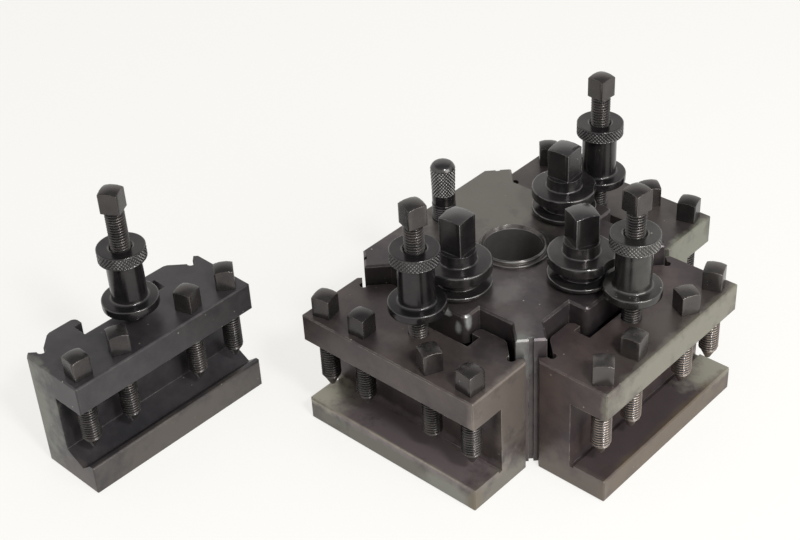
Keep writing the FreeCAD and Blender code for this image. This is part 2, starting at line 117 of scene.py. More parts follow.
def black_finish_effect():
    """Colour, roughness and height of hot blackened steel, from the place on the piece.

    Soft clouds of two sizes mix the black with its browner shade, a fine grain follows the grinding, tiny pale specks
    are dust and bright grit, and a mask of the rounded edges, where the rounded normal leaves the flat one, is worn.
    """
    tree, given, out = new_effect(
        "blackened steel",
        [("Black", "Color", (0.05, 0.045, 0.043, 1)), ("Brown", "Color", (0.09, 0.075, 0.068, 1)),
         ("Bare", "Color", (0.4, 0.38, 0.35, 1)), ("Cloud", "Float", 1.0), ("Edge Wear", "Float", 1.0),
         ("Edge Radius", "Float", 0.0005), ("Specks", "Float", 1.0), ("Dullness", "Float", 0.4)],
        [("Color", "Color"), ("Roughness", "Float"), ("Height", "Float"), ("Normal", "Vector"), ("Worn", "Float")])
    link = tree.links.new
    where = place_node(tree, "ShaderNodeTexCoord", (-6, 3)).outputs["Object"]
    clouds = place_node(tree, "ShaderNodeTexNoise", (-4, 1), in_Scale=26.0, in_Detail=4.0, in_Roughness=0.6)
    blotches = place_node(tree, "ShaderNodeTexNoise", (-4, 3), in_Scale=150.0, in_Detail=5.0, in_Roughness=0.65)
    grain = place_node(tree, "ShaderNodeTexNoise", (-4, 5), in_Scale=2600.0, in_Detail=2.0)
    grit = place_node(tree, "ShaderNodeTexVoronoi", (-4, 7), in_Scale=150.0, in_Randomness=1.0)
    for made in (clouds, blotches, grain, grit):
        link(where, made.inputs["Vector"])

    both = sum_node(tree, "ADD", (-3, 1), sum_node(tree, "MULTIPLY", (-4, 2), clouds.outputs["Fac"], 0.66),
                    sum_node(tree, "MULTIPLY", (-4, 2.5), blotches.outputs["Fac"], 0.35))
    tint = sum_node(tree, "MULTIPLY", (-1, 1), ramp_node(tree, (-2, 1), both, 0.4, 0.62), given.outputs["Cloud"], True)
    base = mix_node(tree, (0, 1), tint, given.outputs["Black"], given.outputs["Brown"])

    rounded = place_node(tree, "ShaderNodeBevel", (-4, -2), samples=6)
    link(given.outputs["Edge Radius"], rounded.inputs["Radius"])
    flat = place_node(tree, "ShaderNodeNewGeometry", (-4, -4))
    facing = place_node(tree, "ShaderNodeVectorMath", (-3, -3), operation="DOT_PRODUCT")
    link(rounded.outputs["Normal"], facing.inputs[0])
    link(flat.outputs["Normal"], facing.inputs[1])
    edge = ramp_node(tree, (-2, -3), facing.outputs["Value"], 0.995, 0.86)
    patchy = ramp_node(tree, (-2, -1), blotches.outputs["Fac"], 0.36, 0.58)
    worn = sum_node(tree, "MULTIPLY", (0, -2), sum_node(tree, "MULTIPLY", (-1, -2), edge, patchy),
                    given.outputs["Edge Wear"], True)

    rare = place_node(tree, "ShaderNodeSeparateColor", (-3, 8))
    link(grit.outputs["Color"], rare.inputs["Color"])
    few = sum_node(tree, "GREATER_THAN", (-2, 8), rare.outputs["Red"], 0.6)
    dust = sum_node(tree, "MULTIPLY", (-1, 7), ramp_node(tree, (-2, 7), grit.outputs["Distance"], 0.075, 0.03), few)
    dusty = sum_node(tree, "MULTIPLY", (0, 7), dust, given.outputs["Specks"], True)
    bare = sum_node(tree, "MAXIMUM", (2, 0), worn, dusty)
    link(mix_node(tree, (4, 1), bare, base, given.outputs["Bare"]), out.inputs["Color"])

    rough = sum_node(tree, "MULTIPLY", (3, 3), blotches.outputs["Fac"], 0.24)
    link(sum_node(tree, "ADD", (5, 3), sum_node(tree, "SUBTRACT", (4, 3), rough, 0.12), given.outputs["Dullness"]),
         out.inputs["Roughness"])
    link(sum_node(tree, "ADD", (4, 5), sum_node(tree, "MULTIPLY", (3, 5), grain.outputs["Fac"], 0.5),
                  blotches.outputs["Fac"]), out.inputs["Height"])
    link(rounded.outputs["Normal"], out.inputs["Normal"])
    link(worn, out.inputs["Worn"])
    return tree


def rub_and_sheen_patch_effect():
    """How much of the black gives way to a patch's colour round a place, for rubbed wear and for painted sheen and
    glints: 1 inside an oval of the half size, breaking up at its rim.
    """
    tree, given, out = new_effect(
        "rub and sheen patch",
        [("Centre", "Vector", (0, 0, 0)), ("Half Size", "Vector", (0.02, 0.02, 0.02)), ("Strength", "Float", 1.0)],
        [("Mask", "Float")])
    link = tree.links.new
    where = place_node(tree, "ShaderNodeTexCoord", (-6, 2)).outputs["Object"]
    away = place_node(tree, "ShaderNodeVectorMath", (-4, 0), operation="SUBTRACT")
    link(where, away.inputs[0])
    link(given.outputs["Centre"], away.inputs[1])
    share = place_node(tree, "ShaderNodeVectorMath", (-3, 0), operation="DIVIDE")
    link(away.outputs["Vector"], share.inputs[0])
    link(given.outputs["Half Size"], share.inputs[1])
    reach = place_node(tree, "ShaderNodeVectorMath", (-2, 0), operation="LENGTH")
    link(share.outputs["Vector"], reach.inputs[0])
    mottle = place_node(tree, "ShaderNodeTexNoise", (-3, 2), in_Scale=95.0, in_Detail=6.0, in_Roughness=0.62)
    link(where, mottle.inputs["Vector"])
    ragged = sum_node(tree, "ADD", (-1, 0), reach.outputs["Value"],
                      sum_node(tree, "MULTIPLY", (-2, 2), mottle.outputs["Fac"], 2.2))
    inside = ramp_node(tree, (0, 0), ragged, 2.25, 1.55)
    link(sum_node(tree, "MULTIPLY", (2, 0), inside, given.outputs["Strength"], True), out.inputs["Mask"])
    return tree


black_finish = black_finish_effect()
rub_and_sheen_patch = rub_and_sheen_patch_effect()


def black_material(name, metallic, grain_height, rubs_and_sheen=(), crested=False, **values):
    """A material of the blackened finish with these values.

    Each patch, rubbed wear as well as painted sheen and glints, is a centre, a half size, a strength and a colour. On a
    crested piece, the mesh's crest attribute is the share of bare steel, which is smoother too; on some turned edges,
    corners and domes, and in the bush's bore, that paler share is partly painted highlight and painted light.
    """
    material = bpy.data.materials.new(name)
    material.use_nodes = True
    tree = material.node_tree
    surface = tree.nodes["Principled BSDF"]
    surface.inputs["Metallic"].default_value = metallic
    effect = place_node(tree, "ShaderNodeGroup", (-6, 0), node_tree=black_finish)
    for label, value in values.items():
        effect.inputs[label.replace("_", " ")].default_value = value
    colour, dull = effect.outputs["Color"], effect.outputs["Roughness"]
    # Each patch mixes its colour over the finish by its mask: rubbed wear as well as painted sheen and glints.
    for row, (centre, half_size, strength, shade) in enumerate(rubs_and_sheen):
        rub_and_sheen_node = place_node(tree, "ShaderNodeGroup", (-6, 3 + 2 * row), node_tree=rub_and_sheen_patch)
        rub_and_sheen_node.inputs["Centre"].default_value = centre
        rub_and_sheen_node.inputs["Half Size"].default_value = half_size
        rub_and_sheen_node.inputs["Strength"].default_value = strength
        colour = mix_node(tree, (-4, row), rub_and_sheen_node.outputs["Mask"], colour, (*shade, 1))
    if crested:
        shown = place_node(tree, "ShaderNodeAttribute", (-6, -3), attribute_name="crest").outputs["Fac"]
        colour = mix_node(tree, (-3, -2), shown, colour, values["Bare"])
        dull = sum_node(tree, "MULTIPLY", (-3, -4), dull, sum_node(tree, "SUBTRACT", (-4, -4), 1.0,
                                                                   sum_node(tree, "MULTIPLY", (-5, -4), shown, 0.45)))
    relief = place_node(tree, "ShaderNodeBump", (-2, 2), in_Strength=0.5, in_Distance=grain_height)
    tree.links.new(colour, surface.inputs["Base Color"])
    tree.links.new(dull, surface.inputs["Roughness"])
    tree.links.new(effect.outputs["Height"], relief.inputs["Height"])
    tree.links.new(effect.outputs["Normal"], relief.inputs["Normal"])
    tree.links.new(relief.outputs["Normal"], surface.inputs["Normal"])
    return material


def finish_node(node, material):
    """Puts the material on a CAD node in place of its plain one."""
    data = nodes[node].data
    data.materials.clear()
    data.materials.append(material)


# Each patch is a place, a half size, a strength and a colour. The first is painted sheen, paler over the far part of
# the top where it mirrors the walls; the next three are rubbed patches.
POST_RUBS_SHEEN_AND_GLINTS = [((-0.042, 0.032, 0.0765), (0.055, 0.055, 0.004), 0.75, (0.2, 0.19, 0.165)),
             ((0.022, -0.032, 0.0765), (0.008, 0.013, 0.003), 0.6, (0.19, 0.18, 0.175)),
             ((0.043, -0.05, 0.0765), (0.007, 0.011, 0.003), 0.5, (0.17, 0.16, 0.155)),
             ((0.0493, -0.0582, 0.068), (0.007, 0.007, 0.02), 0.8, (0.22, 0.225, 0.215)),
             # These three white spots are painted glints of wet oil in the front holder's T-slot.
             ((0.0073, -0.0602, 0.0744), (0.0036, 0.002, 0.002), 1.0, (0.8, 0.83, 0.81)),
             ((0.0142, -0.0602, 0.0685), (0.0022, 0.002, 0.0042), 1.0, (0.7, 0.74, 0.72)),
             ((0.0188, -0.0575, 0.0725), (0.002, 0.0022, 0.0045), 0.9, (0.6, 0.63, 0.62))]
post_steel = black_material("post steel", 0.6, 0.00003, POST_RUBS_SHEEN_AND_GLINTS, Black=(0.066, 0.056, 0.062, 1),
                            Brown=(0.12, 0.1, 0.098, 1), Bare=(0.5, 0.5, 0.46, 1), Dullness=0.33, Edge_Wear=0.7)
finish_node("post_body", post_steel)

# ---------------------------------------------------------------- the centre bush
# A turned and blackened sleeve, pressed into the post to take the lathe's centre stud. It stands 3 mm proud, with a
# low shoulder round it. Its chamfers and edges get a paler bare share, partly bright worn steel and partly a painted
# highlight, and its bore a slighter one that is painted light down the hole.


def eased_outline(corners, steps=5):
    """A turned outline in millimetres, its points as (radius, height, crest), from (radius, height, easing, crest).

    Each corner with an easing becomes an arc: a quadratic curve that leaves one side and reaches the next at that
    distance from the corner, with its crest highest at mid-arc. A corner with none keeps its crest as it is.
    """
    points = np.array([tuple(corner) + (0.0,) * (4 - len(corner)) for corner in corners], float)
    place, easing, bright = points[:, :2], points[:, 2], points[:, 3]
    before = np.roll(place, 1, 0) - place
    after = np.roll(place, -1, 0) - place
    before /= np.maximum(np.hypot(*before.T), 1e-9)[:, None]
    after /= np.maximum(np.hypot(*after.T), 1e-9)[:, None]
    t = np.linspace(0, 1, steps)[:, None]
    outline = []
    for p, b, a, e, c in zip(place, before, after, easing, bright):
        arc = (p + b * e) * (1 - t) ** 2 + 2 * p * t * (1 - t) + (p + a * e) * t ** 2
        outline.append(np.hstack([arc, c * np.minimum(1, 5 * t * (1 - t))]) if e else np.array([[*p, c]]))
    return np.vstack(outline)


def ring_piece(name, radii, heights, crest, centre, body, material, replaced, looped=False):
    """A piece made of rings round a vertical line, in millimetres.

    Ring i stands at heights[i], and its point at angle a lies radii[i, a] from the line. A first or last ring of no
    radius closes in one point, and a looped piece joins its last ring to its first. The crest, a value for each ring
    or each point, is kept as an attribute.
    """
    count, across = radii.shape
    heights = np.broadcast_to(np.asarray(heights, float).reshape(count, -1), (count, across))
    angle = np.linspace(0, 2 * math.pi, across, endpoint=False)
    points = np.stack([centre[0] + radii * np.cos(angle), centre[1] + radii * np.sin(angle), heights], -1) / 1000
    index = np.arange(count * across).reshape(count, across)
    low, high = index, np.roll(index, -1, 0)
    if not looped:
        low, high = low[:-1], high[:-1]
    quads = np.stack([low, np.roll(low, -1, 1), np.roll(high, -1, 1), high], -1).reshape(-1, 4)
    mesh = bpy.data.meshes.new(name)
    mesh.from_pydata(points.reshape(-1, 3), [], quads)
    shown = mesh.attributes.new("crest", "FLOAT", "POINT")
    crest = np.broadcast_to(crest.reshape(count, -1), (count, across)).astype(np.float32)
    shown.data.foreach_set("value", crest.ravel())
    merged = bmesh.new()
    merged.from_mesh(mesh)
    bmesh.ops.remove_doubles(merged, verts=merged.verts, dist=2e-6)
    bmesh.ops.dissolve_degenerate(merged, edges=merged.edges, dist=1e-6)
    merged.to_mesh(mesh)
    merged.free()
    mesh.shade_smooth()
    mesh.set_sharp_from_angle(angle=math.radians(32))
    mesh.materials.append(material)
    piece = bpy.data.objects.new(name, mesh)
    bpy.context.scene.collection.objects.link(piece)
    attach(piece, body)
    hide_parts(replaced)
    return piece


def size_of(node):
    """A CAD node's lowest and highest corner at rest, in millimetres."""
    low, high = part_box(node)
    return np.array(low) * 1000, np.array(high) * 1000


def middle_of(node):
    """The upright line through the middle of a CAD node, in millimetres."""
    low, high = size_of(node)
    return (low + high)[:2] / 2


BORE = 15.0
SLEEVE = 17.0
SHOULDER = 19.0
SHOULDER_HEIGHT = 1.2
post_top = size_of("post_body")[1][2]
bush_steel = black_material("bush steel", 0.5, 0.00001, crested=True, Black=(0.075, 0.066, 0.064, 1),
                            Brown=(0.12, 0.108, 0.102, 1), Bare=(0.6, 0.61, 0.6, 1), Dullness=0.24, Edge_Wear=0.4,
                            Edge_Radius=0.0004, Specks=0.4)
bush_top = size_of("centre_bush")[1][2]
shoulder_top = post_top + SHOULDER_HEIGHT
# The crests on the edges are worn steel with a painted highlight, most on the inner chamfer; the 0.12 at the bore's
# ends paints light down the bore.
bush_line = eased_outline([(BORE, 0, 0, 0.12), (SLEEVE, 0, 0.3), (SLEEVE, post_top), (SHOULDER, post_top),
                           (SHOULDER, shoulder_top, 0.5, 0.2), (SLEEVE + 0.2, shoulder_top, 0.3),
                           (SLEEVE, bush_top - 0.7, 0.4, 0.4), (SLEEVE - 0.5, bush_top, 0.3, 0.2),
                           (BORE + 1.2, bush_top, 0.1, 0.4), (BORE + 0.1, bush_top - 1.9, 0.4, 0.3),
                           (BORE, bush_top - 2.6, 0, 0.12)])
ring_piece("centre_bush_turned", np.repeat(bush_line[:, :1], 128, 1), bush_line[:, 1], bush_line[:, 2], (0, 0), "post",
           bush_steel, "centre_bush", looped=True)

# ---------------------------------------------------------------- the index plunger
# A spring-loaded pin that drops into the slide under the post. Its knob has a coarse crossed knurl and a domed end over
# a plain neck. It slides in a sleeve screwed into the post, whose thread shows above the top. The spring inside
# shortens between the pin's collar and that sleeve as the pin is lifted; here it is the CAD node's coil as it stands,
# fixed to the post.


def filled_outline(outline, step, low, high):
    """The outline with points added along its stretches between two heights, no further apart than the step."""
    filled = []
    for start, end in zip(outline[:-1], outline[1:]):
        inside = min(start[1], end[1]) >= low - 1e-6 and max(start[1], end[1]) <= high + 1e-6
        count = max(1, math.ceil(np.hypot(*(end - start)[:2]) / step)) if inside else 1
        filled.append(start + (end - start) * np.linspace(0, 1, count, endpoint=False)[:, None])
    return np.vstack(filled + [outline[-1:]])


def knurled(radii, heights, low, high, ridges, pitch, depth):
    """Cuts a crossed knurl into the rings between two heights, and gives the rings and how near each point is a crest.

    Two families of V-grooves cross: one rises and one falls by the pitch for each ridge round the bar, and the depth
    at a point is that of the deeper groove.
    """
    across = radii.shape[1]
    around = ridges * np.arange(across) / across
    rise = heights[:, None] / pitch
    grooves = [1 - np.abs(2 * ((around + sign * rise) % 1.0) - 1) for sign in (1, -1)]
    cut = np.clip(1 - 1.6 * np.minimum(*grooves), 0, 1)
    inside = np.clip((heights - low) / 0.4, 0, 1) * np.clip((high - heights) / 0.4, 0, 1)
    return radii - depth * cut * inside[:, None], np.clip(1.3 - 2.6 * cut, 0, 1) * inside[:, None]


def threaded(radii, heights, low, high, depth=0.95, pitch=1.5):
    """Cuts a right-hand thread between two heights, and gives the rings and how near each point is a crest.

    The cut is a wave with flattened crests and roots that climbs one pitch a turn.
    """
    turn = np.arange(radii.shape[1]) / radii.shape[1]
    wave = np.abs(2 * ((heights[:, None] / pitch - turn) % 1.0) - 1)
    cut = np.clip(1.35 * wave - 0.15, 0, 1)
    inside = np.clip((heights - low) / 0.6, 0, 1) * np.clip((high - heights) / 0.6, 0, 1)
    return radii - depth * cut * inside[:, None], np.clip(1.1 - 3.5 * cut, 0, 1) * inside[:, None]


turned_steel = black_material("turned steel", 0.75, 0.000006, crested=True, Black=(0.045, 0.042, 0.044, 1),
                              Brown=(0.08, 0.074, 0.073, 1), Bare=(0.55, 0.55, 0.54, 1), Dullness=0.21,
                              Edge_Wear=0.25, Edge_Radius=0.0003, Specks=0.5)
knurl_steel = black_material("knurled steel", 0.75, 0.000006, crested=True, Black=(0.03, 0.028, 0.03, 1),
                             Brown=(0.055, 0.05, 0.05, 1), Bare=(0.5, 0.49, 0.48, 1), Dullness=0.2,
                             Edge_Wear=0.2, Edge_Radius=0.0003, Specks=0.4)
SHANK = 4.0
COLLAR = 5.8
COLLAR_LOW, COLLAR_TOP = 12.1, 15.1
GRIP_NECK = 6.1
GRIP = 6.55
GRIP_DOME = 3.4
GUIDE = 6.3
KNURL_PITCH = 2.1
KNURL_DEPTH = 0.5
pin_centre = middle_of("index_plunger")
pin_low, knob_top = (corner[2] for corner in size_of("index_plunger"))
guide_low, guide_top = (corner[2] for corner in size_of("plunger_guide"))
neck_low, knob_low = guide_top + 0.1, guide_top + 4.3
grip_top = knob_top - GRIP_DOME
knob_line = filled_outline(eased_outline([
    (0, pin_low), (SHANK - 1, pin_low), (SHANK, pin_low + 1), (SHANK, COLLAR_LOW), (COLLAR, COLLAR_LOW),
    (COLLAR, COLLAR_TOP), (SHANK, COLLAR_TOP), (SHANK, neck_low), (GRIP_NECK, neck_low, 0.3),
    (GRIP_NECK, knob_low, 0.2), (GRIP_NECK - 0.05, knob_low + 0.1), (GRIP, grip_top, 0.5), (5.4, knob_top - 1.1, 1.2),
    (3.2, knob_top - 0.3, 1.2), (0, knob_top)]), 0.26, knob_low, grip_top)
rings, crest = knurled(np.repeat(knob_line[:, :1], 180, 1), knob_line[:, 1], knob_low + 1.2, grip_top + 0.2,
                       22, KNURL_PITCH, KNURL_DEPTH)
crest = 0.8 * crest + 0.1 * (knob_line[:, 1:2] > grip_top + 0.2)
ring_piece("index_plunger_knurled", rings, knob_line[:, 1], crest, pin_centre, "index_plunger", knurl_steel,
           "index_plunger")
guide_line = filled_outline(eased_outline([(SHANK + 0.05, guide_low), (GUIDE, guide_low), (GUIDE, post_top),
                                           (GUIDE, guide_top - 0.5, 0.2), (GUIDE - 0.5, guide_top, 0.2),
                                           (SHANK + 0.05, guide_top)]), 0.22, post_top, guide_top)
rings, crest = threaded(np.repeat(guide_line[:, :1], 96, 1), guide_line[:, 1], post_top + 0.4, guide_top - 0.8,
                        0.35, 1.25)
rings = np.where(guide_line[:, :1] > GUIDE - 0.1, rings, guide_line[:, :1])
ring_piece("plunger_guide_threaded", rings, guide_line[:, 1], 0.2 * crest, pin_centre, "post", knurl_steel,
           "plunger_guide", looped=True)
coil = bpy.data.objects.new("plunger_spring_coil", nodes["plunger_spring"].data.copy())
coil.data.materials.clear()
coil.data.materials.append(turned_steel)
bpy.context.scene.collection.objects.link(coil)
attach(coil, "post")
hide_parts("plunger_spring")
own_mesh(coil)

# ---------------------------------------------------------------- the cam studs
# One turned piece at each station: two discs with a groove that holds the height nut's flange, a scallop that lets
# the flange past, and a 12.7 mm square for the wrench with a domed end. Inside the post it has an eccentric pin, which
# moves the draw rod, over a plain foot. Turned, squared, hardened and blackened.

DISC = 16.8
GROOVE = 11.0
NECK = 9.0
SQUARE = 12.7
DOME = 1.7
# The scallop is the path of the nut's flange: this radius, about a line this far from the stud's.
FLANGE_PATH = 15.1
FLANGE_AWAY = 30.5
CAM_SHOULDER = 12.0
JOURNAL = 9.2
PIN = 5.5
PIN_LOW, PIN_TOP = 24.8, 49.8
FOOT_LOW = 8.1
THROW = 2.194
# How far behind the scallop's middle the pin and the square stand, in degrees.
PIN_TURN = 30.0
SQUARE_TURN = 26.0
cam_axes = {joint["name"]: joint["pos_m"] for joint in frame["record"]["behaviour"]["joints"] if "pos_m" in joint}


def squared(radii, half, turn, rings, firm=34.0):
    """Cuts these rings to a square with flats at half from the line, by a smooth minimum of circle and square."""
    across = radii.shape[1]
    angle = np.linspace(0, 2 * math.pi, across, endpoint=False) - math.radians(turn)
    square = half / np.maximum(np.abs(np.cos(angle)), np.abs(np.sin(angle)))
    cut = square * (1 + (square / np.maximum(radii, 1e-6)) ** firm) ** (-1 / firm)
    return np.where(rings[:, None] & (radii > 0), cut, radii)


def domed_end(corner, low, rise, count=9):
    """The outline over a square's corners: a shallow sphere from its rim up to the line."""
    sphere = (corner ** 2 + rise ** 2) / (2 * rise)
    turn = math.asin(corner / sphere) * np.linspace(1, 0, count)
    return np.stack([sphere * np.sin(turn), low + rise - sphere + sphere * np.cos(turn), 0 * turn], 1)


def cam_rings(top, scallop_angle, square_turn):
    """A cam stud's rings, their heights and crests: its turned outline, its pin, its scallop, and its square.

    A point of the off-centre pin is as far from the line as the ray there runs to a circle moved aside by the throw.
    """
    low, high = post_top + 2.5, post_top + 4.6
    groove_top, disc_top, neck_top = high + 6.4, high + 11.9, high + 18.4
    line = np.vstack([eased_outline([
        (0, FOOT_LOW), (PIN, FOOT_LOW), (PIN, PIN_LOW), (PIN, PIN_LOW + 0.1), (PIN, PIN_TOP), (JOURNAL, PIN_TOP),
        (JOURNAL, post_top + 0.1), (CAM_SHOULDER, post_top + 0.1), (CAM_SHOULDER, low), (DISC, low, 0.35),
        # The crests on the discs' top edges and the neck's foot are a paler bare share: worn steel, and a painted
        # highlight along those rims.
        (DISC, high, 0.6, 0.18), (GROOVE, high, 0.5), (GROOVE, groove_top, 0.5), (DISC, groove_top, 0.35),
        (DISC, disc_top, 1.0, 0.1), (NECK + 0.1, disc_top, 0.9, 0.05), (NECK, neck_top, 0.2), (NECK, neck_top + 0.2)]),
        domed_end(NECK, top - DOME, DOME)])
    radii, heights = np.repeat(line[:, :1], 240, 1), line[:, 1]
    angle = np.linspace(0, 2 * math.pi, 240, endpoint=False) - math.radians(scallop_angle)
    reach = FLANGE_PATH ** 2 - (FLANGE_AWAY * np.sin(angle)) ** 2
    bite = np.where((reach > 0) & (np.cos(angle) > 0),
                    FLANGE_AWAY * np.cos(angle) - np.sqrt(np.maximum(reach, 0)), 99.0)
    scalloped = (heights > groove_top - 0.1) & (heights < disc_top + 0.1)
    radii = np.where(scalloped[:, None], np.minimum(radii, np.maximum(bite, NECK)), radii)
    aside = angle + math.radians(PIN_TURN)
    pin = THROW * np.cos(aside) + np.sqrt(PIN ** 2 - (THROW * np.sin(aside)) ** 2)
    on_pin = (heights > PIN_LOW + 0.05) & (heights < PIN_TOP + 0.1) & (line[:, 0] < PIN + 0.1)
    radii = np.where(on_pin[:, None], pin, radii)
    on_square = heights > neck_top + 0.1
    radii = squared(radii, SQUARE / 2, square_turn, on_square)
    # The square's corners and its dome get a paler bare share: worn steel, with a painted glint down the corners and a
    # painted lighter top.
    on_dome = (heights > top - DOME + 0.1)[:, None]
    corner = (radii > 8.6) & on_square[:, None] & ~on_dome
    return radii, heights, line[:, 2:] + 0.22 * corner + 0.1 * on_dome


for station, facing, turned_by in (("front", -90.0, -60.0), ("right", 0.0, 0.0), ("rear", 90.0, -60.0)):
    node = station + "_cam_stud"
    rings, heights, crest = cam_rings(size_of(node)[1][2], facing + turned_by, facing + turned_by - SQUARE_TURN)
    centre = 1000 * np.array(cam_axes[station + "_cam_turn"][:2])
    ring_piece(node + "_turned", rings, heights, crest, centre, station + "_cam", turned_steel, node)
    finish_node(station + "_draw_rod", turned_steel)

# ---------------------------------------------------------------- the tool holders and clamp bars
# Each holder is a milled and ground block: two jaws with the tool slot between, and a T-slot and two V-grooves in its
# back. The clamp bar is the flat plate in that slot. Blackened, browned on top, and rubbed pale in patches where
# tools, hands and the bench have been. Greenish-grey patches on the faces toward the window and the camera are
# painted sheen: the right holder's outer face, the ends of the front and rear holders, and the spare's front face; on
# the front lower jaw's front the rubbed wear carries painted sheen too. Each patch is a place, a half size, a strength
# and a colour.

RUBS_AND_SHEEN = {
    # The first two, on the lower jaw's front, are rubbed wear with painted sheen.
    "front": [((0.0, -0.0986, 0.005), (0.08, 0.004, 0.011), 0.75, (0.2, 0.195, 0.165)),
              ((0.04, -0.0986, 0.004), (0.02, 0.004, 0.008), 0.6, (0.3, 0.3, 0.27)),
              ((0.0, -0.088, 0.013), (0.09, 0.026, 0.004), 0.95, (0.25, 0.207, 0.212)),
              ((-0.054, -0.092, 0.013), (0.02, 0.022, 0.004), 1.0, (0.38, 0.36, 0.29)),
              ((0.0, -0.0986, 0.0131), (0.075, 0.0016, 0.001), 0.8, (0.36, 0.33, 0.27)),
              # Painted sheen, low on the end toward the window.
              ((0.055, -0.08, 0.0), (0.004, 0.04, 0.018), 0.75, (0.22, 0.205, 0.17)),
              ((0.054, -0.097, 0.006), (0.005, 0.005, 0.008), 0.8, (0.19, 0.155, 0.11)),
              # Painted sheen on the end toward the window.
              ((0.055, -0.07, 0.05), (0.004, 0.06, 0.036), 0.8, (0.24, 0.205, 0.18))],
    # The right holder's first patch is painted sheen on its outer face toward the window.
    "right": [((0.0986, 0.01, 0.058), (0.004, 0.09, 0.016), 0.95, (0.26, 0.25, 0.2)),
              ((0.088, -0.01, 0.013), (0.02, 0.07, 0.004), 0.8, (0.12, 0.097, 0.104)),
              ((0.093, 0.055, 0.013), (0.02, 0.026, 0.004), 1.0, (0.34, 0.325, 0.27)),
              ((0.0986, 0.0, 0.006), (0.004, 0.09, 0.014), 0.85, (0.16, 0.125, 0.088)),
              ((0.08, -0.055, 0.0), (0.04, 0.004, 0.018), 0.7, (0.19, 0.165, 0.14)),
              ((0.088, 0.0, 0.0667), (0.012, 0.06, 0.004), 0.5, (0.13, 0.115, 0.1))],
    # The rear holder's first patch is painted sheen on its end toward the window.
    "rear": [((0.055, 0.08, 0.045), (0.004, 0.04, 0.04), 0.95, (0.23, 0.23, 0.185)),
             ((0.0, 0.0986, 0.004), (0.07, 0.004, 0.0105), 0.5, (0.2, 0.19, 0.16))],
    # The spare's first patch is painted sheen on its front face.
    "spare": [((-0.14, -0.206, 0.042), (0.022, 0.004, 0.05), 0.85, (0.23, 0.235, 0.2)),
              ((-0.095, -0.15, 0.006), (0.006, 0.075, 0.016), 0.75, (0.13, 0.115, 0.1)),
              ((-0.11, -0.206, 0.0), (0.02, 0.004, 0.014), 0.6, (0.15, 0.12, 0.105))],
}
# Each holder's black, its browner shade, and how worn its edges are.
SHADES = {"front": ((0.062, 0.05, 0.053, 1), (0.115, 0.093, 0.088, 1), 1.2),
          "right": ((0.072, 0.055, 0.06, 1), (0.125, 0.097, 0.09, 1), 0.8),
          "rear": ((0.064, 0.055, 0.055, 1), (0.115, 0.098, 0.09, 1), 0.3),
          "spare": ((0.048, 0.045, 0.05, 1), (0.078, 0.071, 0.075, 1), 0.25)}
for holder, rubs_and_sheen in RUBS_AND_SHEEN.items():
    black, brown, wear = SHADES[holder]
    steel = black_material(holder + " holder steel", 0.5, 0.00003, rubs_and_sheen, Black=black, Brown=brown,
                           Bare=(0.42, 0.41, 0.36, 1), Dullness=0.36, Edge_Wear=wear)
    finish_node(holder + "_holder", steel)
    if holder != "spare":
        finish_node(holder + "_clamp_bar", steel)

# ---------------------------------------------------------------- the height screws
# An M10 screw with a 10 mm square head, locked in the top of each holder. The holder hangs on it from the height nut.
# Each head is turned as it stands in the photo.

SCREW = 5.0
HEAD_HALF = 5.0
HEAD_CORNER = 7.07
HEAD_HEIGHT = 12.0
HEAD_DOME = 1.7
FACING = {"front": 0.0, "right": 90.0, "rear": 180.0, "spare": 88.84}


def screw_rings(outline, thread_low, thread_high, head_low, top, head_turn, thread_bare, head_bare, point_bare=0.0):
    """A square-headed screw's rings and crests: the turned outline, its thread, and its square under a dome.

    The last three numbers are how bare its thread, its head and its point below the thread are.
    """
    line = np.vstack([filled_outline(np.array(outline, float), 0.25, thread_low - 0.5, thread_high + 0.5),
                      [[SCREW, head_low], [HEAD_CORNER, head_low + 0.02], [HEAD_CORNER, head_low + 0.3]],
                      domed_end(HEAD_CORNER, top - HEAD_DOME, HEAD_DOME)[:, :2]])
    rings, crest = threaded(np.repeat(line[:, :1], 80, 1), line[:, 1], thread_low, thread_high)
    heights = line[:, 1]
    plain = np.where(heights > head_low, head_bare, np.where(heights < thread_low, point_bare, 0.0))
    rings = squared(rings, HEAD_HALF, head_turn, heights > head_low + 0.01)
    return rings, heights, thread_bare * crest + plain[:, None]


screw_steel = black_material("screw steel", 0.7, 0.000006, crested=True, Black=(0.036, 0.033, 0.034, 1),
                             Brown=(0.07, 0.063, 0.061, 1), Bare=(0.5, 0.47, 0.43, 1), Dullness=0.27,
                             Edge_Wear=0.4, Edge_Radius=0.0003, Specks=0.4)
HEIGHT_HEAD_BARE = {"front": 0.07, "right": 0.06, "rear": 0.06, "spare": 0.05}
HEIGHT_HEAD_TURNS = {"front": 72.7, "right": 81.2, "rear": 85.0, "spare": 30.0}
for holder, facing in FACING.items():
    node = holder + "_height_screw"
    low, high = size_of(node)
    head_low = high[2] - HEAD_HEIGHT
    outline = [(0, low[2]), (SCREW, low[2]), (SCREW, low[2] + 0.3), (SCREW, head_low - 0.3)]
    rings, heights, crest = screw_rings(outline, low[2] + 0.3, head_low - 0.3, head_low, high[2],
                                        facing + HEIGHT_HEAD_TURNS[holder], 0.05, HEIGHT_HEAD_BARE[holder])
    ring_piece(node + "_threaded", rings, heights, crest, middle_of(node), holder + "_holder", screw_steel,
               node)

# ---------------------------------------------------------------- the height nuts
# A turned nut that sets the tool's height: a flange that the cam stud's groove holds, a plain neck, and a collar with
# a crossed knurl to turn it by. Blackened, with its turned edges a little paler, partly worn steel and partly a
# painted highlight along the rims. The right holder's has worn paler.

